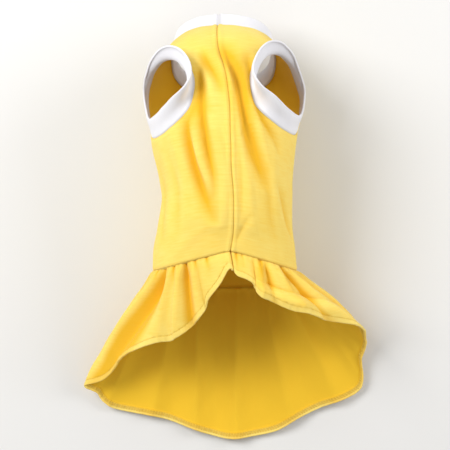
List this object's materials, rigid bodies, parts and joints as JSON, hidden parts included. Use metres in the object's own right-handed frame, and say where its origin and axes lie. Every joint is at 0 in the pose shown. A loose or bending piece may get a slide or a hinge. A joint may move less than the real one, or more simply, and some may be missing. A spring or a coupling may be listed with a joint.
{
  "type": "dog dress",
  "caption": "Sleeveless knitted dog dress in yellow jersey with white ribbed collar and armhole bands and a gathered skirt that parts under the belly.",
  "frame": {"origin": "middle of the wearer's trunk, inside the bodice, where the dress sits on the body", "axes": "+Y from the skirt towards the neck, +Z out of the belly side (up as the dress lies on its back), +X to the right as the belly is looked at"},
  "size_m": [0.2967, 0.4372, 0.1616],
  "materials": {
    "yellow_jersey": "matte knitted cotton jersey",
    "white_rib": "matte ribbed knit, folded double"
  },
  "bodies": {
    "root": {"bodice": "yellow_jersey", "skirt": "yellow_jersey", "collar_band": "white_rib", "armhole_band_left": "white_rib", "armhole_band_right": "white_rib"}
  },
  "joints": []
}
